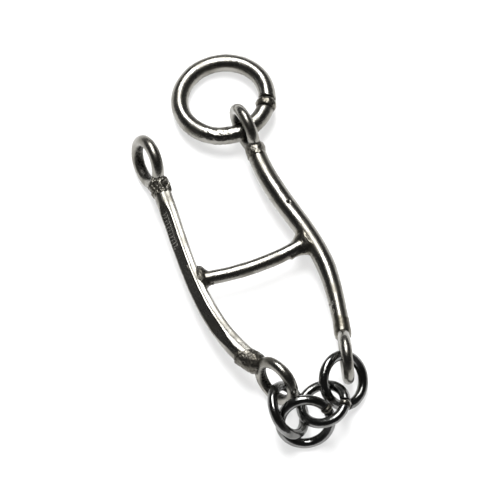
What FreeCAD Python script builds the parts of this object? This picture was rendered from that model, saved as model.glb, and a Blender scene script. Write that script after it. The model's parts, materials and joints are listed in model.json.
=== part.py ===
import FreeCAD, Part
import math
import os

# Miniature curb bit in silver wire: two bowed shanks, a fixed mouthpiece, four
# brazed eyes, a chain of four links and one large hanging ring.
# Millimetres. The bit lies flat: +Y runs along the shanks to the upper eyes,
# +X runs from the left shank to the right one, +Z is up from the table.
# Sizes below are laid out from a point between the shanks; the last step moves
# the origin to the middle of the footprint.

os.makedirs("parts", exist_ok=True)
Vec = FreeCAD.Vector

# ---- left shank: round wire, bowed outwards; each end butts against its eye
left_middle_x = -6.24
left_middle_y = 0.40
left_bow_x = -6.50
left_bow_y = -5.60
left_knee_x = -5.75
left_knee_y = -9.55
left_top_radius = 0.86
left_middle_radius = 0.80
left_bow_radius = 0.86
left_knee_radius = 0.94
left_toe_radius = 0.84

# ---- right shank: stout at the top, thinner at the toe, swept inwards
right_middle_x = 4.44
right_middle_y = 2.40
right_bow_x = 5.00
right_bow_y = -5.00
right_knee_x = 4.20
right_knee_y = -9.00
right_top_radius = 0.88
right_middle_radius = 0.98
right_bow_radius = 0.90
right_knee_radius = 0.78
right_toe_radius = 0.72
shank_sections = 14

# ---- mouthpiece: slightly arched bar between the shanks
bar_left_y = -1.35
bar_crown_x = -1.60
bar_crown_y = -2.52
bar_right_y = -2.52
bar_radius = 0.66
bar_sections = 8

# ---- eyes: plain wire rings standing upright on the shank ends
upper_eye_radius = 1.95
upper_eye_wire = 1.10
left_eye_radius = 2.05
left_eye_wire = 1.14
lower_eye_radius = 1.95
lower_eye_wire = 1.04
toe_eye_radius = 2.00
toe_eye_wire = 1.04
upper_left_eye_x = -4.95
upper_left_eye_y = 11.25
upper_right_eye_x = 4.68
upper_right_eye_y = 10.29
lower_left_eye_x = -4.22
lower_left_eye_y = -13.46
lower_left_eye_lift = 0.42
lower_right_eye_x = 2.45
lower_right_eye_y = -14.11
left_lean = -16.5
upper_right_lean = -3.0
lower_right_lean = 2.0
upper_left_heading = 1.0
upper_right_heading = 0.0
lower_left_heading = -16.4
lower_right_heading = 21.0

# ---- solder that joins the eyes to the shanks: a thin edge that swells to the eye
solder_edge = 0.05
solder_over_eye = 0.16
solder_past_wire = 0.12
solder_shoulder_share = 0.30
solder_slope_share = 0.65
solder_slope_swell = 0.6
blob_length = 1.60
blob_swell = 0.18
dab_length = 1.20
dab_swell = 0.07
porous_length = 2.30
porous_swell = 0.20
toe_length = 1.70
toe_swell = 0.07

# ---- collars where the mouthpiece meets the shanks
# ---- each spreads along its shank and stays low over it
rough_collar_length = 0.95
rough_collar_radius = 1.20
rough_collar_root = 0.40
rough_collar_lip_share = 0.12
rough_collar_slope_share = 0.50
rough_collar_slope_swell = 0.18
fillet_length = 1.70
fillet_radius = 1.50
fillet_root = 0.50
fillet_lip_swell = 0.56
fillet_slope_share = 0.38
fillet_slope_swell = 0.18
collar_edge = 0.05
rough_collar_flatness = 0.62
fillet_flatness = 0.62

# ---- large hanging ring, cut once and closed with a bead of solder
ring_outer_diameter = 10.0
ring_wire = 1.68
ring_tilt = 8.4
ring_tilt_heading = 98.0
ring_reach = 4.14
ring_side_offset = -0.16
ring_cut_angle = -38.0
ring_cut_width = 1.10
ring_crack = 0.14
ring_bead_bulge = 0.12

# ---- chain: three equal links and one smaller; link A is closed without a seam and the
# ---- others are cut once
link_outer_diameter = 5.42
small_link_outer_diameter = 4.96
link_wire = 0.92
link_cut_width = 0.62
link_crack = 0.08
link_bead_bulge = 0.06
bead_end_share = 0.28
link_b_cut_side = Vec(0.90, 0.00, 0.42)
link_c_cut_side = Vec(0.80, -0.50, 0.30)
link_d_cut_side = Vec(-0.35, -0.86, -0.37)

# ---- how the slack chain lies: centre of each link, how far its axis leans from
# ---- upright and the compass angle it leans towards, counted from +X
link_a_x = -4.412
link_a_y = -16.179
link_a_z = 2.373
link_a_tilt = 51.2
link_a_heading = -19.2
link_b_x = -3.548
link_b_y = -17.786
link_b_z = 2.225
link_b_tilt = 50.6
link_b_heading = -111.9
link_c_x = -1.457
link_c_y = -17.16
link_c_z = 2.646
link_c_tilt = 22.3
link_c_heading = 109.9
link_d_x = 1.282
link_d_y = -15.858
link_d_z = 2.094
link_d_tilt = 39.6
link_d_heading = -50.8


def heading_vector(degrees):
    """Level unit vector: 0 points along +Y and positive turns towards +X."""
    turn = math.radians(degrees)
    return Vec(math.sin(turn), math.cos(turn), 0)


def tilted_normal(tilt, heading):
    """Unit vector that leans away from +Z by tilt, towards a compass angle from +X."""
    lean = math.radians(tilt)
    turn = math.radians(heading)
    return Vec(math.sin(lean) * math.cos(turn), math.sin(lean) * math.sin(turn), math.cos(lean))


def eye_normal(heading, lean):
    """Axis of an upright ring whose plane follows the heading and leans sideways."""
    side = Vec(heading_vector(heading).y, -heading_vector(heading).x, 0)
    tip = math.radians(lean)
    return Vec(side.x * math.cos(tip), side.y * math.cos(tip), math.sin(tip))


def wire_ring(centre, normal, radius, wire):
    return Part.makeTorus(radius, wire / 2, centre, normal)


def standing_height(radius, wire, lean):
    """Height of a leaning ring's centre when its lowest point touches the table."""
    return radius * math.cos(math.radians(lean)) + wire / 2


def smooth_curve(points):
    curve = Part.BSplineCurve()
    curve.interpolate(points)
    return curve


def tapered_rod(points, radii, sections):
    """Round bar along a smooth curve, its radius eased from one station to the next."""
    curve = smooth_curve(points)
    stations = [curve.parameter(point) for point in points]
    first = curve.FirstParameter
    last = curve.LastParameter
    rings = []
    for index in range(sections + 1):
        at = first + (last - first) * index / sections
        rings.append(section_circle(curve, at, eased_value(stations, radii, at)))
    return Part.makeLoft(rings, True, False)


def section_circle(curve, at, radius):
    """Circle across the curve, turned from -Y so that neighbours never twist."""
    edge = Part.makeCircle(radius, Vec(0, 0, 0), Vec(0, -1, 0))
    turn = FreeCAD.Rotation(Vec(0, -1, 0), curve.tangent(at)[0])
    edge.Placement = FreeCAD.Placement(curve.value(at), turn)
    return Part.Wire([edge])


def eased_value(stations, values, at):
    for index in range(len(stations) - 1):
        if at <= stations[index + 1] + 1e-9:
            span = stations[index + 1] - stations[index]
            share = (at - stations[index]) / span
            eased = share * share * (3 - 2 * share)
            return values[index] + (values[index + 1] - values[index]) * eased
    return values[-1]


def turned(profile, base, direction):
    """Solid of revolution: profile lists (distance along the axis, radius)."""
    first = Vec(profile[0][1], 0, profile[0][0])
    last = Vec(profile[-1][1], 0, profile[-1][0])
    side = smooth_curve([Vec(radius, 0, along) for along, radius in profile]).toShape()
    start_axis = Vec(0, 0, first.z)
    end_axis = Vec(0, 0, last.z)
    bottom = Part.makeLine(start_axis, first)
    top = Part.makeLine(last, end_axis)
    back = Part.makeLine(end_axis, start_axis)
    face = Part.Face(Part.Wire([bottom, side, top, back]))
    solid = face.revolve(Vec(0, 0, 0), Vec(0, 0, 1), 360)
    solid.Placement = FreeCAD.Placement(base, FreeCAD.Rotation(Vec(0, 0, 1), direction))
    return solid


def largest(shape):
    """The main solid of a cut, without loose crumbs."""
    return max(shape.Solids, key=lambda solid: solid.Volume)


def solder_sleeve(points, eye_wire, end_radius, length, swell, bar, eye):
    """Solder round a shank end, from the eye's wire back along the shank."""
    curve = smooth_curve(points)
    seat = points[0]
    back = curve.tangent(curve.FirstParameter)[0]
    if eye.distToShape(Part.Vertex(points[-1]))[0] < eye_wire:
        seat = points[-1]
        back = curve.tangent(curve.LastParameter)[0] * -1
    front = eye_wire / 2 + solder_over_eye
    shoulder = end_radius + swell
    profile = [
        (-solder_past_wire, front),
        (solder_shoulder_share * length, shoulder),
        (solder_slope_share * length, end_radius + solder_slope_swell * swell),
        (length, end_radius + solder_edge),
    ]
    sleeve = turned(profile, seat, back)
    return largest(sleeve.cut(eye).cut(bar))


def cut_ring(centre, normal, radius, wire, start, width, crack, bulge):
    """Ring with one saw cut, and the solder bead that fills the cut but for a crack."""
    ring = wire_ring(centre, normal, radius, wire)
    outward = start - normal * start.dot(normal)
    outward.normalize()
    along = normal.cross(outward)
    seat = centre + outward * radius
    slab = Part.makeBox(2 * wire, 2 * wire, width)
    slab.translate(Vec(-wire, -wire, 0))
    turn = FreeCAD.Rotation(Vec(0, 0, 1), along)
    slab.Placement = FreeCAD.Placement(seat - along * (width / 2), turn).multiply(slab.Placement)
    open_ring = largest(ring.cut(slab))
    bead_length = width - crack
    middle = wire / 2 + bulge
    end = wire / 2 - bulge
    bead_start = seat - along * (width / 2)
    profile = [
        (0, end),
        (bead_end_share * bead_length, middle),
        ((1 - bead_end_share) * bead_length, middle),
        (bead_length, end),
    ]
    bead = turned(profile, bead_start, along)
    return open_ring, bead


nodes = {}

# ---- eyes
upper_left_centre = Vec(
    upper_left_eye_x, upper_left_eye_y, standing_height(left_eye_radius, left_eye_wire, left_lean)
)
upper_right_centre = Vec(
    upper_right_eye_x, upper_right_eye_y, standing_height(upper_eye_radius, upper_eye_wire, upper_right_lean)
)
lower_left_centre = Vec(
    lower_left_eye_x,
    lower_left_eye_y,
    standing_height(toe_eye_radius, toe_eye_wire, left_lean) + lower_left_eye_lift,
)
lower_right_centre = Vec(
    lower_right_eye_x, lower_right_eye_y, standing_height(lower_eye_radius, lower_eye_wire, lower_right_lean)
)

eye_upper_left = wire_ring(
    upper_left_centre, eye_normal(upper_left_heading, left_lean), left_eye_radius, left_eye_wire
)
eye_upper_right = wire_ring(
    upper_right_centre, eye_normal(upper_right_heading, upper_right_lean), upper_eye_radius, upper_eye_wire
)
eye_lower_left = wire_ring(
    lower_left_centre, eye_normal(lower_left_heading, left_lean), toe_eye_radius, toe_eye_wire
)
eye_lower_right = wire_ring(
    lower_right_centre, eye_normal(lower_right_heading, lower_right_lean), lower_eye_radius, lower_eye_wire
)

# ---- shanks: each runs from eye to eye and is coped to their wire
left_top = upper_left_centre - heading_vector(upper_left_heading) * left_eye_radius
left_toe = lower_left_centre + heading_vector(lower_left_heading) * toe_eye_radius
right_top = upper_right_centre - heading_vector(upper_right_heading) * upper_eye_radius
right_toe = lower_right_centre + heading_vector(lower_right_heading) * lower_eye_radius


def height_between(high, low, y):
    """Height on the straight line from one shank end to the other."""
    return low.z + (high.z - low.z) * (y - low.y) / (high.y - low.y)


def on_shank(high, low, x, y):
    return Vec(x, y, height_between(high, low, y))


left_points = [
    left_top,
    on_shank(left_top, left_toe, left_middle_x, left_middle_y),
    on_shank(left_top, left_toe, left_bow_x, left_bow_y),
    on_shank(left_top, left_toe, left_knee_x, left_knee_y),
    left_toe,
]
right_points = [
    right_top,
    on_shank(right_top, right_toe, right_middle_x, right_middle_y),
    on_shank(right_top, right_toe, right_bow_x, right_bow_y),
    on_shank(right_top, right_toe, right_knee_x, right_knee_y),
    right_toe,
]
left_radii = [left_top_radius, left_middle_radius, left_bow_radius, left_knee_radius, left_toe_radius]
right_radii = [
    right_top_radius, right_middle_radius, right_bow_radius, right_knee_radius, right_toe_radius
]
left_bar = tapered_rod(left_points, left_radii, shank_sections)
right_bar = tapered_rod(right_points, right_radii, shank_sections)
shank_left = largest(left_bar.cut(eye_upper_left).cut(eye_lower_left))
shank_right = largest(right_bar.cut(eye_upper_right).cut(eye_lower_right))

# ---- mouthpiece: its ends run to the shanks' middle lines and are coped to them
def shank_crossing(points, y):
    """Point on a shank's middle line at a given y."""
    curve = smooth_curve(points)
    level = Part.Plane(Vec(0, y, 0), Vec(0, 1, 0))
    crossing = curve.intersectCS(level)[0][0]
    return Vec(crossing.X, crossing.Y, crossing.Z)


bar_left = shank_crossing(left_points, bar_left_y)
bar_right = shank_crossing(right_points, bar_right_y)
bar_points = [
    bar_left,
    Vec(bar_crown_x, bar_crown_y, (bar_left.z + bar_right.z) / 2),
    bar_right,
]
bar_blank = tapered_rod(bar_points, [bar_radius, bar_radius, bar_radius], bar_sections)
mouthpiece = largest(bar_blank.cut(left_bar).cut(right_bar))

bar_curve = smooth_curve(bar_points)
left_pull = bar_curve.tangent(bar_curve.FirstParameter)[0]
right_pull = bar_curve.tangent(bar_curve.LastParameter)[0] * -1
rough_lip = left_middle_radius + rough_collar_lip_share * rough_collar_length
rough_slope = left_middle_radius + rough_collar_slope_share * rough_collar_length
rough_profile = [
    (rough_collar_root * left_middle_radius, rough_collar_radius),
    (rough_lip, rough_collar_radius),
    (rough_slope, bar_radius + rough_collar_slope_swell),
    (left_middle_radius + rough_collar_length, bar_radius + collar_edge),
]
fillet_slope = right_bow_radius + fillet_slope_share * fillet_length
fillet_profile = [
    (fillet_root * right_bow_radius, fillet_radius),
    (right_bow_radius, bar_radius + fillet_lip_swell),
    (fillet_slope, bar_radius + fillet_slope_swell),
    (right_bow_radius + fillet_length, bar_radius + collar_edge),
]


def flattened(shape, middle, flatness):
    """The shape squeezed in height about the level of a point."""
    squeeze = FreeCAD.Matrix()
    squeeze.move(Vec(0, 0, -middle.z))
    squeeze.scale(1, 1, flatness)
    squeeze.move(Vec(0, 0, middle.z))
    return shape.transformGeometry(squeeze)


rough_collar = flattened(
    turned(rough_profile, bar_points[0], left_pull), bar_points[0], rough_collar_flatness
)
smooth_fillet = flattened(
    turned(fillet_profile, bar_points[-1], right_pull), bar_points[-1], fillet_flatness
)
collar_left = largest(rough_collar.cut(left_bar).cut(bar_blank))
collar_right = largest(smooth_fillet.cut(right_bar).cut(bar_blank))

# ---- solder joints of the four eyes
solder_upper_left = solder_sleeve(
    left_points, left_eye_wire, left_top_radius, blob_length, blob_swell, left_bar, eye_upper_left
)
solder_upper_right = solder_sleeve(
    right_points, upper_eye_wire, right_top_radius, dab_length, dab_swell, right_bar, eye_upper_right
)
solder_lower_left = solder_sleeve(
    left_points, toe_eye_wire, left_toe_radius, porous_length, porous_swell, left_bar, eye_lower_left
)
solder_lower_right = solder_sleeve(
    right_points, lower_eye_wire, right_toe_radius, toe_length, toe_swell, right_bar, eye_lower_right
)

# ---- hanging ring: rests on the table at its far edge and on the eye's lower wire
ring_radius = (ring_outer_diameter - ring_wire) / 2
ring_normal = tilted_normal(ring_tilt, ring_tilt_heading)
ring_centre = Vec(
    upper_right_eye_x + ring_side_offset,
    upper_right_eye_y + ring_reach,
    ring_wire / 2 + ring_radius * math.sin(math.radians(ring_tilt)),
)
hanging_ring, ring_solder = cut_ring(
    ring_centre, ring_normal, ring_radius, ring_wire,
    Vec(math.cos(math.radians(ring_cut_angle)), math.sin(math.radians(ring_cut_angle)), 0),
    ring_cut_width, ring_crack, ring_bead_bulge,
)

# ---- chain links, from the lower left eye to the lower right one
link_radius = (link_outer_diameter - link_wire) / 2
small_link_radius = (small_link_outer_diameter - link_wire) / 2
link_a_centre = Vec(link_a_x, link_a_y, link_a_z)
link_b_centre = Vec(link_b_x, link_b_y, link_b_z)
link_c_centre = Vec(link_c_x, link_c_y, link_c_z)
link_d_centre = Vec(link_d_x, link_d_y, link_d_z)
link_a_normal = tilted_normal(link_a_tilt, link_a_heading)
link_b_normal = tilted_normal(link_b_tilt, link_b_heading)
link_c_normal = tilted_normal(link_c_tilt, link_c_heading)
link_d_normal = tilted_normal(link_d_tilt, link_d_heading)

link_a = wire_ring(link_a_centre, link_a_normal, link_radius, link_wire)
link_b, link_b_solder = cut_ring(
    link_b_centre, link_b_normal, link_radius, link_wire,
    link_b_cut_side, link_cut_width, link_crack, link_bead_bulge,
)
link_c, link_c_solder = cut_ring(
    link_c_centre, link_c_normal, small_link_radius, link_wire,
    link_c_cut_side, link_cut_width, link_crack, link_bead_bulge,
)
link_d, link_d_solder = cut_ring(
    link_d_centre, link_d_normal, link_radius, link_wire,
    link_d_cut_side, link_cut_width, link_crack, link_bead_bulge,
)

nodes["shank_left"] = shank_left
nodes["shank_right"] = shank_right
nodes["mouthpiece"] = mouthpiece
nodes["mouthpiece_collar_left"] = collar_left
nodes["mouthpiece_fillet_right"] = collar_right
nodes["eye_upper_left"] = eye_upper_left
nodes["eye_upper_right"] = eye_upper_right
nodes["eye_lower_left"] = eye_lower_left
nodes["eye_lower_right"] = eye_lower_right
nodes["solder_upper_left"] = solder_upper_left
nodes["solder_upper_right"] = solder_upper_right
nodes["solder_lower_left"] = solder_lower_left
nodes["solder_lower_right"] = solder_lower_right
nodes["hanging_ring"] = hanging_ring
nodes["hanging_ring_solder"] = ring_solder
nodes["chain_link_a"] = link_a
nodes["chain_link_b"] = link_b
nodes["chain_link_b_solder"] = link_b_solder
nodes["chain_link_c"] = link_c
nodes["chain_link_c_solder"] = link_c_solder
nodes["chain_link_d"] = link_d
nodes["chain_link_d_solder"] = link_d_solder

# ---- origin: middle of the footprint, on the table
whole = Part.makeCompound(list(nodes.values()))
box = whole.optimalBoundingBox(False)
shift = Vec(-(box.XMin + box.XMax) / 2, -(box.YMin + box.YMax) / 2, -box.ZMin)
for name, shape in nodes.items():
    placed = shape.copy()
    placed.translate(shift)
    placed.exportStep("parts/" + name + ".step")
print("shift", round(shift.x, 4), round(shift.y, 4), round(shift.z, 4))
print("size", round(box.XLength, 3), round(box.YLength, 3), round(box.ZLength, 3))
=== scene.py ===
# %% [markdown]
# # A miniature curb bit in tarnished silver
# The object is a charm about 40 mm long: two bowed shanks, a mouthpiece bar between them,
# four brazed wire eyes, a big jump ring in one upper eye and a short chain between the two
# lower ones. The CAD model holds every size and place. Blender adds what a hand-made silver
# piece has on top of that: lumpy solder, file marks, dents, worn shine and dark tarnish, and
# the colour also carries painted shade in the corners between pieces and inside the eyes.

# %% Load the fixed frame
import bpy
import json
import math
import numpy as np
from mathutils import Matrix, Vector
from mathutils.kdtree import KDTree

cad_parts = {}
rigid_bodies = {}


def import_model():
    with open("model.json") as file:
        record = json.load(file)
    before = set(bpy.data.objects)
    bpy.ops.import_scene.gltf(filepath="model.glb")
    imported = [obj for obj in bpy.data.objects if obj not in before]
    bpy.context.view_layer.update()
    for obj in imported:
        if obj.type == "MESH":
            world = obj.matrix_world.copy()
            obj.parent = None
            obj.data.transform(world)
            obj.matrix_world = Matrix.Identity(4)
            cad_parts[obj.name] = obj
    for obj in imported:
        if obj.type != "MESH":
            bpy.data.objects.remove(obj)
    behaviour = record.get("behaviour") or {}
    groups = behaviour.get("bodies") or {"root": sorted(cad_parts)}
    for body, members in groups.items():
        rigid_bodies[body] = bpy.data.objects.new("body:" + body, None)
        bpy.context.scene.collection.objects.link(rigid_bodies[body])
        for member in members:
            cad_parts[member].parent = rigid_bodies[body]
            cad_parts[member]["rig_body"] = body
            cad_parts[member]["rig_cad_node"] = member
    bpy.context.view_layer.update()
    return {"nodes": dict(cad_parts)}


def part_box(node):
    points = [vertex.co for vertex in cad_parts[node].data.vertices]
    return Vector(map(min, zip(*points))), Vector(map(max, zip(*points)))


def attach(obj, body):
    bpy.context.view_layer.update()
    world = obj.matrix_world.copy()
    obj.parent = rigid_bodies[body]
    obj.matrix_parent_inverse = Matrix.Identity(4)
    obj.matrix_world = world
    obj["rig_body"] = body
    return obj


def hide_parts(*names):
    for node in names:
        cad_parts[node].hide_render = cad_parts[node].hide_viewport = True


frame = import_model()
nodes = frame["nodes"]

# %% [markdown]
# ## A bench at a larger scale
# Blender's voxel remesh and its textures have a smallest size of about a tenth of a
# millimetre, which is coarse on wire this thin. A maker puts such work under a magnifier.
# Here each piece is copied a thousand times larger, so that one unit is one millimetre, is
# worked on, and is shrunk back at the end. The copy's loose triangles are merged first.

# %% Pick pieces and copy them to the bench
def pick(*pieces):
    """Selects only these pieces, the last one active."""
    bpy.ops.object.select_all(action="DESELECT")
    for piece in pieces:
        piece.select_set(True)
    bpy.context.view_layer.objects.active = pieces[-1]


def bench_copy(name, *cad_names):
    """A merged copy of CAD nodes, in millimetres, free of its body."""
    pick(*[nodes[cad] for cad in cad_names])
    bpy.ops.object.duplicate()
    if len(cad_names) > 1:
        bpy.ops.object.join()
    bpy.ops.object.parent_clear(type="CLEAR_KEEP_TRANSFORM")
    piece = bpy.context.object
    piece.name = name
    del piece["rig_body"]
    del piece["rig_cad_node"]
    piece.scale = (1000, 1000, 1000)
    bpy.ops.object.transform_apply(location=True, rotation=True, scale=True)
    bpy.ops.object.mode_set(mode="EDIT")
    bpy.ops.mesh.select_all(action="SELECT")
    bpy.ops.mesh.remove_doubles(threshold=0.0005)
    bpy.ops.object.mode_set(mode="OBJECT")
    piece.data.materials.clear()
    return piece


# %% [markdown]
# ## The tools of the bench
# Silver wire starts even and loses its evenness under hammer, file and torch. Four tools are
# enough for that. *Reskin* lays an even skin of small squares over a piece and relaxes it,
# which also rounds every sharp edge as polishing does. *Press* pushes the skin in and out
# with a noise pattern. *Nick* pushes in a spot or a line. *Saw* cuts off what isn't wanted.

# %% Reskin, press, nick and saw
def relax(piece, passes):
    """Evens the skin out, a little more with each pass."""
    pick(piece)
    bpy.ops.object.modifier_add(type="SMOOTH")
    piece.modifiers[-1].factor = 0.5
    piece.modifiers[-1].iterations = passes
    bpy.ops.object.modifier_apply(modifier=piece.modifiers[-1].name)


def reskin(piece, voxel, passes):
    """Even quads of a voxel's size, relaxed by a few smoothing passes."""
    pick(piece)
    bpy.ops.object.modifier_add(type="REMESH")
    skin = piece.modifiers[-1]
    skin.mode = "VOXEL"
    skin.voxel_size = voxel
    bpy.ops.object.modifier_apply(modifier=skin.name)
    relax(piece, passes)


def press(piece, depth, size=None, group="", middle=0.5):
    """Pushes the skin along its normals: by a noise of that grain, or evenly with no size."""
    pick(piece)
    bpy.ops.object.modifier_add(type="DISPLACE")
    push = piece.modifiers[-1]
    push.strength = depth
    push.mid_level = middle if size else 0.0
    push.texture_coords = "LOCAL"
    push.vertex_group = group
    if size:
        grain = bpy.data.textures.new(piece.name + "_grain", "CLOUDS")
        grain.noise_scale = size
        push.texture = grain
    bpy.ops.object.modifier_apply(modifier=push.name)


def places(piece):
    """The piece's vertices as rows of x, y, z."""
    flat = np.zeros(len(piece.data.vertices) * 3)
    piece.data.vertices.foreach_get("co", flat)
    return flat.reshape(-1, 3)


def nick(piece, chosen, depth):
    """Pushes the chosen vertices in and softens the edge of the mark."""
    pick(piece)
    bpy.ops.object.mode_set(mode="EDIT")
    bpy.ops.mesh.select_mode(type="VERT")
    bpy.ops.mesh.select_all(action="DESELECT")
    bpy.ops.object.mode_set(mode="OBJECT")
    piece.data.vertices.foreach_set("select", chosen)
    bpy.ops.object.mode_set(mode="EDIT")
    bpy.ops.transform.shrink_fatten(value=-depth)
    bpy.ops.mesh.select_more()
    bpy.ops.mesh.vertices_smooth(factor=0.5, repeat=1)
    bpy.ops.object.mode_set(mode="OBJECT")


def saw(piece, point, beyond):
    """Cuts off what lies beyond a plane and closes the cut."""
    pick(piece)
    bpy.ops.object.mode_set(mode="EDIT")
    bpy.ops.mesh.select_all(action="SELECT")
    bpy.ops.mesh.bisect(plane_co=point, plane_no=beyond, use_fill=True, clear_outer=True)
    bpy.ops.object.mode_set(mode="OBJECT")


def weigh(piece, group, weights):
    """A vertex group with one weight for each vertex."""
    made = piece.vertex_groups.new(name=group)
    for index, weight in enumerate(weights):
        if weight > 0.001:
            made.add([index], float(weight), "REPLACE")


def ease(value, start, end):
    """0 at start, 1 at end, smooth between them."""
    share = np.clip((value - start) / (end - start), 0, 1)
    return share * share * (3 - 2 * share)


# %% [markdown]
# ## The two shanks
# Each shank is a length of thick round wire, forged a little thinner at one end and bent in
# a slow S. Forging leaves long shallow waves, and handling leaves small ones. The left
# shank still carries a row of short parallel file marks on its outer flank, where the eye
# was dressed, and its toe is pitted where the solder was too hot.

# %% Left shank, forged
made = {}
shank_voxel = 0.06
shank_passes = 16
shank_left = bench_copy("shank_left_rod", "shank_left")
reskin(shank_left, shank_voxel, shank_passes)
press(shank_left, depth=0.05, size=1.9)
print("left shank skin:", len(shank_left.data.polygons), "faces")

# %% [markdown]
# A file took a long flat facet off the shank's outer upper side. To place it, the shank's
# middle line and half height are measured in sixty slices along its length. The facet fades
# out before it reaches the solder at either end.

# %% Flat facet on the left shank
slice_count = 60
flat_turn = math.radians(-38)
flat_depth = 0.17
flat_upper_fade = (7.2, 5.8)
flat_lower_fade = (-8.8, -6.5)
flat_passes = 8
flat_way = np.array([math.sin(flat_turn), 0, math.cos(flat_turn)])
spots = places(shank_left)
slices = np.array_split(np.argsort(spots[:, 1]), slice_count)
line_y = [spots[part, 1].mean() for part in slices]
line_x = [(spots[part, 0].min() + spots[part, 0].max()) / 2 for part in slices]
line_z = [(spots[part, 2].min() + spots[part, 2].max()) / 2 for part in slices]
half = [(spots[part, 2].max() - spots[part, 2].min()) / 2 for part in slices]
middle = np.stack([
    np.interp(spots[:, 1], line_y, line_x),
    spots[:, 1],
    np.interp(spots[:, 1], line_y, line_z),
], axis=1)
radius = np.interp(spots[:, 1], line_y, half)
stroke = flat_depth * ease(spots[:, 1], *flat_upper_fade) * ease(spots[:, 1], *flat_lower_fade)
above = ((spots - middle) @ flat_way) - (radius - stroke)
spots -= np.clip(above, 0, None)[:, None] * flat_way
shank_left.data.vertices.foreach_set("co", spots.ravel())
shank_left.data.update()
relax(shank_left, flat_passes)
print("facet depth in mm:", flat_depth)

# %% [markdown]
# The file also left a row of short strokes across the facet, a third of a millimetre apart.

# %% File marks
file_pitch = 0.34
file_width = 0.14
file_depth = 0.06
file_slant = 0.15
file_aside = 0.52
file_half_length = 0.20
file_above_z = 2.6
file_from_y = 2.3
file_to_y = 5.9
spots = places(shank_left)
left_middle = np.interp(spots[:, 1], line_y, line_x)
flank = np.abs(spots[:, 0] - (left_middle - file_aside)) < file_half_length
flank &= (spots[:, 1] > file_from_y) & (spots[:, 1] < file_to_y) & (spots[:, 2] > file_above_z)
in_mark = ((spots[:, 1] + file_slant * spots[:, 0]) % file_pitch) < file_width
nick(shank_left, flank & in_mark, file_depth)
made["shank_left"] = shank_left
print("file marks on the left shank:", round((file_to_y - file_from_y) / file_pitch))

# %% [markdown]
# The right shank is round all over. Knocks have left four small nicks in it.

# %% Right shank with its nicks
shank_right = bench_copy("shank_right_rod", "shank_right")
reskin(shank_right, shank_voxel, shank_passes)
press(shank_right, depth=0.05, size=2.3)
nick_places = [(2.50, -8.90), (2.24, -9.62), (3.75, -9.90), (3.62, 1.60)]
nick_radius = 0.17
nick_depth = 0.07
nick_above_z = 2.3
spots = places(shank_right)
for spot in nick_places:
    beside = np.linalg.norm(spots[:, :2] - np.array(spot), axis=1)
    nick(shank_right, (beside < nick_radius) & (spots[:, 2] > nick_above_z), nick_depth)
made["shank_right"] = shank_right
print("right shank skin:", len(shank_right.data.polygons), "faces")

# %% [markdown]
# ## Mouthpiece, eyes, ring and links
# All of these are plain round wire, bent and closed by hand. Their CAD shapes are right, so
# each keeps its shape and only gets the small unevenness of hand-bent wire. The big ring has
# also been gripped with pliers: its lower left side is pitted and chewed.

# %% Mouthpiece and eyes
bent_wire = {
    "mouthpiece": "mouthpiece_bar",
    "eye_upper_left": "eye_upper_left_wire",
    "eye_upper_right": "eye_upper_right_wire",
    "eye_lower_left": "eye_lower_left_wire",
    "eye_lower_right": "eye_lower_right_wire",
}
for cad, name in bent_wire.items():
    piece = bench_copy(name, cad)
    reskin(piece, voxel=0.05, passes=16)
    press(piece, depth=0.05, size=1.3)
    made[cad] = piece
print("bent wire pieces:", len(bent_wire))

# %% [markdown]
# The big ring's grip marks cover a sector of it, given by compass bearings from its middle,
# and fade in and out at the ends of the sector.

# %% Big ring, gripped by pliers
ring = bench_copy("hanging_ring_wire", "hanging_ring")
reskin(ring, voxel=0.06, passes=14)
press(ring, depth=0.06, size=1.9)
ring_spots = places(ring)
ring_low, ring_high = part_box("hanging_ring")
ring_centre = np.array((ring_low + ring_high) / 2) * 1000
off_centre = ring_spots - ring_centre
bearing = np.degrees(np.arctan2(off_centre[:, 1], off_centre[:, 0]))
grip_start = (58, 76)
grip_end = (128, 150)
chewed = ease(-bearing, *grip_start) * (1 - ease(-bearing, *grip_end))
weigh(ring, "chewed", chewed)
press(ring, depth=0.09, size=0.50, group="chewed", middle=0.60)
press(ring, depth=0.03, size=0.22, group="chewed")
made["hanging_ring"] = ring
print("ring centre in mm", ring_centre.round(2))

# %% [markdown]
# The links are thinner wire, so their skin is finer and their waves are shallower.

# %% Chain links
for letter in "abcd":
    link = bench_copy("chain_link_" + letter + "_wire", "chain_link_" + letter)
    reskin(link, voxel=0.045, passes=12)
    press(link, depth=0.035, size=1.0)
    made["chain_link_" + letter] = link
print("links:", sum(cad.startswith("chain_link") for cad in made))

# %% [markdown]
# The ring and three of the links show a bead of solder in the cut where the wire was closed.
# Each row is the skin's voxel, the depth of its lumps and their grain, all in millimetres.

# %% Solder beads in the cuts of the ring and the links
bead_grain = {
    "hanging_ring_solder": (0.05, 0.16, 0.42),
    "chain_link_b_solder": (0.035, 0.06, 0.25),
    "chain_link_c_solder": (0.035, 0.08, 0.25),
    "chain_link_d_solder": (0.035, 0.06, 0.25),
}
for cad, (voxel, depth, size) in bead_grain.items():
    bead = bench_copy(cad + "_bead", cad)
    reskin(bead, voxel, passes=4)
    press(bead, depth, size)
    made[cad] = bead
print("beads:", len(bead_grain))

# %% [markdown]
# ## Solder that flows
# Hot solder wets both pieces and climbs a little way up each, so a joint has no step. To get
# that, the solder is copied together with the ends of its neighbours, sawn off just outside
# the solder, reskinned as one lump and relaxed. Then the skin sinks a little under its
# neighbours, and only where there is solder it rises again in lumps.

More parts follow.
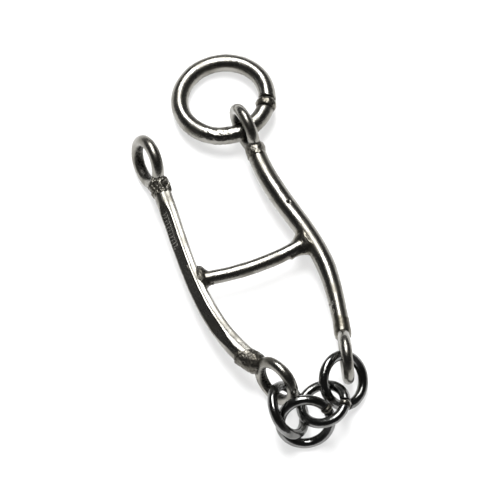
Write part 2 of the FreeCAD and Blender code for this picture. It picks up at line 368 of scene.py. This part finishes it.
# %% One solder joint
def solder_flow(cad, *neighbours, voxel, rise, lumps, grain, passes, reach=0.45, sink=0.06):
    """A lump of solder that covers the joint and fades out under the pieces it joins."""
    saw_room = 0.15
    wet_through = 0.05
    fine_depth_share = 0.2
    fine_grain_share = 0.45
    flow = bench_copy(cad + "_flow", cad, *neighbours)
    low, high = (1000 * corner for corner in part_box(cad))
    for axis in range(3):
        outward = Vector((0, 0, 0))
        outward[axis] = 1
        saw(flow, high + outward * (reach + saw_room), outward)
        saw(flow, low - outward * (reach + saw_room), -outward)
    reskin(flow, voxel, passes)
    solder = KDTree(len(nodes[cad].data.vertices))
    for index, vertex in enumerate(nodes[cad].data.vertices):
        solder.insert(vertex.co * 1000, index)
    solder.balance()
    away = np.array([solder.find(spot)[2] for spot in places(flow)])
    weigh(flow, "wet", 1 - ease(away, wet_through, reach))
    press(flow, -sink)
    press(flow, sink + rise, group="wet")
    press(flow, lumps, grain, group="wet")
    press(flow, lumps * fine_depth_share, grain * fine_grain_share, group="wet")
    return flow


# %% [markdown]
# The six joints differ in how the solder froze. The upper left one is a small cluster of
# lumps, the lower left one is porous, and those at the right of the bit are nearly smooth.

# %% The six joints of the bit
made["solder_upper_left"] = solder_flow(
    "solder_upper_left", "eye_upper_left", "shank_left",
    voxel=0.045, rise=-0.02, lumps=0.46, grain=0.52, passes=4, reach=0.28,
)
made["solder_upper_right"] = solder_flow(
    "solder_upper_right", "eye_upper_right", "shank_right",
    voxel=0.045, rise=0.01, lumps=0.18, grain=0.55, passes=6, reach=0.28,
)
made["solder_lower_left"] = solder_flow(
    "solder_lower_left", "eye_lower_left", "shank_left",
    voxel=0.05, rise=0.0, lumps=0.14, grain=0.34, passes=5,
)
made["solder_lower_right"] = solder_flow(
    "solder_lower_right", "eye_lower_right", "shank_right",
    voxel=0.05, rise=0.0, lumps=0.05, grain=0.55, passes=8,
)
made["mouthpiece_collar_left"] = solder_flow(
    "mouthpiece_collar_left", "mouthpiece", "shank_left",
    voxel=0.05, rise=0.0, lumps=0.14, grain=0.50, passes=5, reach=0.2,
)
made["mouthpiece_fillet_right"] = solder_flow(
    "mouthpiece_fillet_right", "mouthpiece", "shank_right",
    voxel=0.05, rise=0.01, lumps=0.02, grain=0.80, passes=22,
)
print("joints:", {cad: len(made[cad].data.polygons) for cad in made if "solder_" in cad})

# %% [markdown]
# ## Where tarnish and painted shade stay
# Silver turns brown and black in air, and handling rubs it bright again, so the dark stays
# where nothing rubs: in pits and in the corners between pieces. The darkness in corners is
# also painted shade, for the shadow that falls between touching pieces. Both are measured
# here and kept on each vertex as an attribute that the materials read. A pit is a vertex that
# lies lower than its neighbours. A corner is a vertex close to another piece.

# %% Pits and corners
def hollow_share(piece, broad_passes=6, even_passes=3):
    """How far each vertex lies below the mean of its neighbours, evened out."""
    mesh = piece.data
    ends = np.zeros(len(mesh.edges) * 2, int)
    mesh.edges.foreach_get("vertices", ends)
    ends = ends.reshape(-1, 2)
    count = np.bincount(ends.ravel(), minlength=len(mesh.vertices)).clip(1)
    normals = np.zeros(len(mesh.vertices) * 3)
    mesh.vertices.foreach_get("normal", normals)

    def around(values):
        total = np.zeros_like(values)
        np.add.at(total, ends[:, 0], values[ends[:, 1]])
        np.add.at(total, ends[:, 1], values[ends[:, 0]])
        return total / (count[:, None] if values.ndim == 2 else count)

    spots = places(piece)
    broad = spots
    for _ in range(broad_passes):
        broad = around(broad)
    depth = ((broad - spots) * normals.reshape(-1, 3)).sum(1)
    for _ in range(even_passes):
        depth = (depth + around(depth)) / 2
    return depth


# Tarnish and painted shade: skin close to another piece is darkened as if shadowed between the
# parts.
def corner_share(cad, reach, touching=0.02):
    """1 where a vertex touches another piece, 0 beyond the reach."""
    spots = places(made[cad])
    nearest = np.full(len(spots), reach)
    low, high = spots.min(0) - reach, spots.max(0) + reach
    for other, tree in trees.items():
        if other == cad or other in left_stain:
            continue
        low_other, high_other = reaches[other]
        if (low > high_other).any() or (high < low_other).any():
            continue
        inside = ((spots > low_other - reach) & (spots < high_other + reach)).all(1)
        for index in np.flatnonzero(inside):
            nearest[index] = min(nearest[index], tree.find(spots[index])[2])
    return 1 - ease(nearest, touching, reach)


def inside_share(cad, strength=0.9, grazing=0.15, facing=0.85):
    """Tarnish and painted shade inside an eye: dark where the skin faces the middle of the hole.
    """
    if not cad.startswith("eye_"):
        return 0.0
    low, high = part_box(cad)
    spots = places(made[cad])
    inward = np.array((low + high) / 2) * 1000 - spots
    inward /= np.linalg.norm(inward, axis=1)[:, None]
    normals = np.zeros(len(spots) * 3)
    made[cad].data.vertices.foreach_get("normal", normals)
    return strength * ease((inward * normals.reshape(-1, 3)).sum(1), grazing, facing)


# %% [markdown]
# Torch work leaves a stain on a joint that polishing doesn't reach. The table gives each
# joint's share of it, and these pieces take it in place of the corner darkening, which elsewhere
# is tarnish and painted shade. Eyes are also dark on the inside, partly tarnish and partly
# painted shade, and pits are dark everywhere.

# %% Tarnish and painted shade on every vertex
pit_from = 0.003
pit_full = 0.02
corner_reach = 0.34
corner_strength = 0.8
left_stain = {
    "solder_upper_left": 0.40,
    "solder_upper_right": 0.35,
    "solder_lower_left": 0.60,
    "solder_lower_right": 0.15,
    "mouthpiece_collar_left": 0.70,
    "mouthpiece_fillet_right": 0.00,
}
trees = {}
reaches = {}
for cad, piece in made.items():
    spots = places(piece)
    tree = KDTree(len(spots))
    for index, spot in enumerate(spots):
        tree.insert(spot, index)
    tree.balance()
    trees[cad] = tree
    reaches[cad] = (spots.min(0), spots.max(0))
for cad, piece in made.items():
    pits = ease(hollow_share(piece), pit_from, pit_full)
    corners = left_stain[cad] if cad in left_stain else corner_share(cad, corner_reach)
    # The corner and eye-inside terms paint shade into the colour on top of the tarnish; the pits
    # are oxide.
    dark = np.clip(pits + corner_strength * corners + inside_share(cad), 0, 1)
    piece.data.attributes.new("tarnish_and_shade", "FLOAT", "POINT")
    piece.data.attributes["tarnish_and_shade"].data.foreach_set("value", dark.astype(np.float32))
print("tarnish measured on", len(made), "pieces")

# %% [markdown]
# ## Colours and nodes
# Colours are written as sRGB hex, as a picture editor shows them, and turned linear by one
# function. A second small function adds a node with its settings and links.

# %% Two helpers for materials
def colour(hex_code):
    """sRGB hex to linear colour."""
    parts = [int(hex_code[i:i + 2], 16) / 255 for i in (1, 3, 5)]
    linear = [p / 12.92 if p <= 0.04045 else ((p + 0.055) / 1.055) ** 2.4 for p in parts]
    return (*linear, 1.0)


def add(tree, kind, links=None, **settings):
    """Adds a node. Links go from an input's name to a socket, settings to node or input."""
    node = tree.nodes.new(kind)
    for key, value in settings.items():
        if hasattr(node, key):
            setattr(node, key, value)
        else:
            node.inputs[key.replace("_", " ")].default_value = value
    for key, socket in (links or {}).items():
        tree.links.new(socket, node.inputs[key])
    return node


def new_finish(name):
    """An empty material with its shader, output and coordinates in millimetres."""
    made_of = bpy.data.materials.new(name)
    made_of.use_nodes = True
    tree = made_of.node_tree
    tree.nodes.clear()
    shader = add(tree, "ShaderNodeBsdfPrincipled")
    add(tree, "ShaderNodeOutputMaterial", {"Surface": shader.outputs["BSDF"]})
    where = add(tree, "ShaderNodeTexCoord")
    mm = add(
        tree, "ShaderNodeMapping", {"Vector": where.outputs["Object"]}, Scale=(1000, 1000, 1000),
    )
    return made_of, tree, shader, mm.outputs["Vector"]


# %% [markdown]
# ## Three finishes
# *Handled silver* is sterling silver, drawn to wire and rubbed by years of wear: a satin
# shine on top, warm grey where a thin brown film has grown, black in the hollows, and dark
# in the corners and inside the eyes, where the dark is partly painted shade.
# *Oxidised silver* on the links is the same metal under a thicker grey-violet film.
# *Torch solder* is a silver-copper-zinc alloy, left as it froze: a little duller and yellower,
# with brown oxide in its pores. The film grows in patches about two millimetres wide, the
# specks are a seventh of a millimetre, and the fine hairs along the wire are drawn a few times
# coarser than a real polishing scratch, which would be too fine to see.

# %% Silver finishes
def silver_finish(name, bright, film, black, film_grain, film_share, rough, rough_film):
    """Metal, brighter or darker by patches of film and by the tarnish and painted shade on each
    vertex.
    """
    rough_tarnish = 0.35
    finish, tree, shader, mm = new_finish(name)
    held = add(tree, "ShaderNodeAttribute", attribute_name="tarnish_and_shade")
    patches = add(tree, "ShaderNodeTexNoise", {"Vector": mm}, Scale=film_grain, Detail=4.0)
    specks = add(tree, "ShaderNodeTexNoise", {"Vector": mm}, Scale=7.0, Detail=3.0)
    patchy = add(
        tree, "ShaderNodeMapRange", {"Value": patches.outputs["Fac"]},
        From_Min=0.40, From_Max=0.68, To_Min=0.0, To_Max=film_share,
    )
    speckled = add(
        tree, "ShaderNodeMapRange", {"Value": specks.outputs["Fac"]},
        From_Min=0.35, From_Max=0.70, To_Min=0.55, To_Max=1.25,
    )
    dark = add(
        tree, "ShaderNodeMath", {0: held.outputs["Fac"], 1: speckled.outputs["Result"]},
        operation="MULTIPLY", use_clamp=True,
    )
    filmed = add(tree, "ShaderNodeMix", {0: patchy.outputs["Result"]}, data_type="RGBA")
    filmed.inputs[6].default_value = colour(bright)
    filmed.inputs[7].default_value = colour(film)
    final = add(
        tree, "ShaderNodeMix", {0: dark.outputs["Value"], 6: filmed.outputs[2]}, data_type="RGBA",
    )
    final.inputs[7].default_value = colour(black)
    tree.links.new(final.outputs[2], shader.inputs["Base Color"])
    shader.inputs["Metallic"].default_value = 1.0
    rough_patch = add(
        tree, "ShaderNodeMapRange", {"Value": patchy.outputs["Result"]},
        From_Min=0.0, From_Max=1.0, To_Min=rough, To_Max=rough_film,
    )
    rough_all = add(
        tree, "ShaderNodeMath",
        {0: dark.outputs["Value"], 2: rough_patch.outputs["Result"]},
        operation="MULTIPLY_ADD",
    )
    rough_all.inputs[1].default_value = rough_tarnish
    tree.links.new(rough_all.outputs["Value"], shader.inputs["Roughness"])
    hairs_way = add(
        tree, "ShaderNodeMapping", {"Vector": mm}, Rotation=(0.3, 0.2, 0.5), Scale=(30, 3, 30),
    )
    hairs = add(
        tree, "ShaderNodeTexNoise", {"Vector": hairs_way.outputs["Vector"]}, Scale=1.0, Detail=2.0,
    )
    grain = add(
        tree, "ShaderNodeBump", {"Height": hairs.outputs["Fac"]}, Strength=0.12, Distance=0.00002,
    )
    tree.links.new(grain.outputs["Normal"], shader.inputs["Normal"])
    return finish


handled_silver = silver_finish(
    "handled_sterling_silver", bright="#94928C", film="#6A675F", black="#0B0907",
    film_grain=0.5, film_share=0.9, rough=0.22, rough_film=0.38,
)
oxidised_silver = silver_finish(
    "oxidised_sterling_silver", bright="#838382", film="#555552", black="#0A0908",
    film_grain=0.6, film_share=0.8, rough=0.13, rough_film=0.24,
)
torch_solder = silver_finish(
    "torch_silver_solder", bright="#8B8880", film="#5F5B51", black="#0E0A06",
    film_grain=0.5, film_share=0.9, rough=0.22, rough_film=0.36,
)
print("finishes:", [m.name for m in (handled_silver, oxidised_silver, torch_solder)])

# %% [markdown]
# ## Back into the frame
# Each piece is shrunk to metres with its origin at the frame's origin, shaded smooth, given
# its finish and tied to the CAD body of the node that it stands for, and that node is hidden.

# %% Hand the pieces over
finishes = {
    "silver": handled_silver,
    "oxidised_silver": oxidised_silver,
    "solder": torch_solder,
}


def slot_of(cad):
    """The record's slot by what the piece is."""
    if "solder" in cad or "collar" in cad or "fillet" in cad:
        return "solder"
    return "oxidised_silver" if "link" in cad else "silver"


for cad, piece in made.items():
    pick(piece)
    piece.scale = (0.001, 0.001, 0.001)
    bpy.ops.object.transform_apply(location=True, rotation=True, scale=True)
    bpy.ops.object.shade_smooth()
    piece.vertex_groups.clear()
    piece.data.materials.append(finishes[slot_of(cad)])
    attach(piece, nodes[cad]["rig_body"])
    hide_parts(cad)
print("triangles:", sum(2 * len(piece.data.polygons) for piece in made.values()))

# %% [markdown]
# ## Table, light and camera
# Small silver is shot on white under soft lights. A mirror shows only what is around it, so
# the room decides the picture: the white table gives the grey flanks, bright panels give the
# white stripes, and the dark room between them gives the black. The table itself is a matt
# white board, three metres wide, with hardly visible unevenness.

# %% White table
bpy.ops.object.select_all(action="DESELECT")
bpy.ops.mesh.primitive_grid_add(x_subdivisions=8, y_subdivisions=8, size=3.0, location=(0, 0, 0))
table = bpy.context.object
table.name = "white_table"
paint, tree, shader, mm = new_finish("matt_white_board")
soft = add(tree, "ShaderNodeTexNoise", {"Vector": mm}, Scale=0.02, Detail=1.0)
tint = add(
    tree, "ShaderNodeMapRange", {"Value": soft.outputs["Fac"]},
    From_Min=0.3, From_Max=0.7, To_Min=0.78, To_Max=0.80,
)
tree.links.new(tint.outputs["Result"], shader.inputs["Base Color"])
shader.inputs["Roughness"].default_value = 0.7
shader.inputs["Specular IOR Level"].default_value = 0.1
table.data.materials.append(paint)

# %% [markdown]
# The window is the main light, high and behind. A card at the right lights the left shank
# only, for its broad stripe. A lamp that casts no shadow and makes no reflection whitens the
# table, so that the shadows stay pale while the metal stays dark.

# %% Soft lights
def panel(name, place, size_x, size_y, watts):
    """A soft light panel turned to the middle of the table."""
    lamp = bpy.data.lights.new(name, "AREA")
    lamp.shape = "RECTANGLE"
    lamp.size = size_x
    lamp.size_y = size_y
    lamp.energy = watts
    holder = bpy.data.objects.new(name, lamp)
    bpy.context.scene.collection.objects.link(holder)
    holder.location = place
    holder.rotation_mode = "QUATERNION"
    holder.rotation_quaternion = (-Vector(place)).to_track_quat("-Z", "Y")
    holder.visible_camera = False
    return holder


panel("window", (0.06, 0.20, 0.40), 0.18, 0.36, 2.3)
card = panel("right_card", (0.30, 0.12, 0.14), 0.14, 0.30, 0.9)
lit_by_card = bpy.data.collections.new("lit_by_card")
lit_by_card.objects.link(made["shank_left"])
card.light_linking.receiver_collection = lit_by_card
table_lamp = panel("table_lamp", (-0.05, -0.05, 0.60), 0.40, 0.40, 3.6)
table_lamp.visible_glossy = False
table_lamp.data.use_shadow = False

# %% [markdown]
# The room is dim at the horizon and nearly black overhead.

# %% Room
room = bpy.data.worlds.new("dark_room")
bpy.context.scene.world = room
room.use_nodes = True
sky = room.node_tree
sky.nodes.clear()
way = add(sky, "ShaderNodeTexCoord")
up = add(sky, "ShaderNodeSeparateXYZ", {"Vector": way.outputs["Generated"]})
height = add(
    sky, "ShaderNodeMapRange", {"Value": up.outputs["Z"]},
    From_Min=0.0, From_Max=0.5, To_Min=0.18, To_Max=0.03,
)
light = add(sky, "ShaderNodeBackground", {"Color": height.outputs["Result"]}, Strength=1.0)
add(sky, "ShaderNodeOutputWorld", {"Surface": light.outputs["Background"]})

# %% [markdown]
# The camera looks down steeply, a little from the left, through a long lens.

# %% Camera
view_azimuth = math.radians(-27)
view_elevation = math.radians(67)
view_distance = 0.200
aim_point = Vector((-0.00106, 0.00021, 0))
back = Vector((
    math.sin(view_azimuth) * math.cos(view_elevation),
    -math.cos(view_azimuth) * math.cos(view_elevation),
    math.sin(view_elevation),
))
camera = bpy.data.objects.new("camera", bpy.data.cameras.new("camera"))
bpy.context.scene.collection.objects.link(camera)
bpy.context.scene.camera = camera
camera.data.sensor_width = 36
camera.data.lens = 155.5
camera.data.clip_start = 0.01
camera.location = aim_point + back * view_distance
camera.rotation_mode = "QUATERNION"
camera.rotation_quaternion = (-back).to_track_quat("-Z", "Y")
bpy.context.scene.view_settings.view_transform = "Standard"
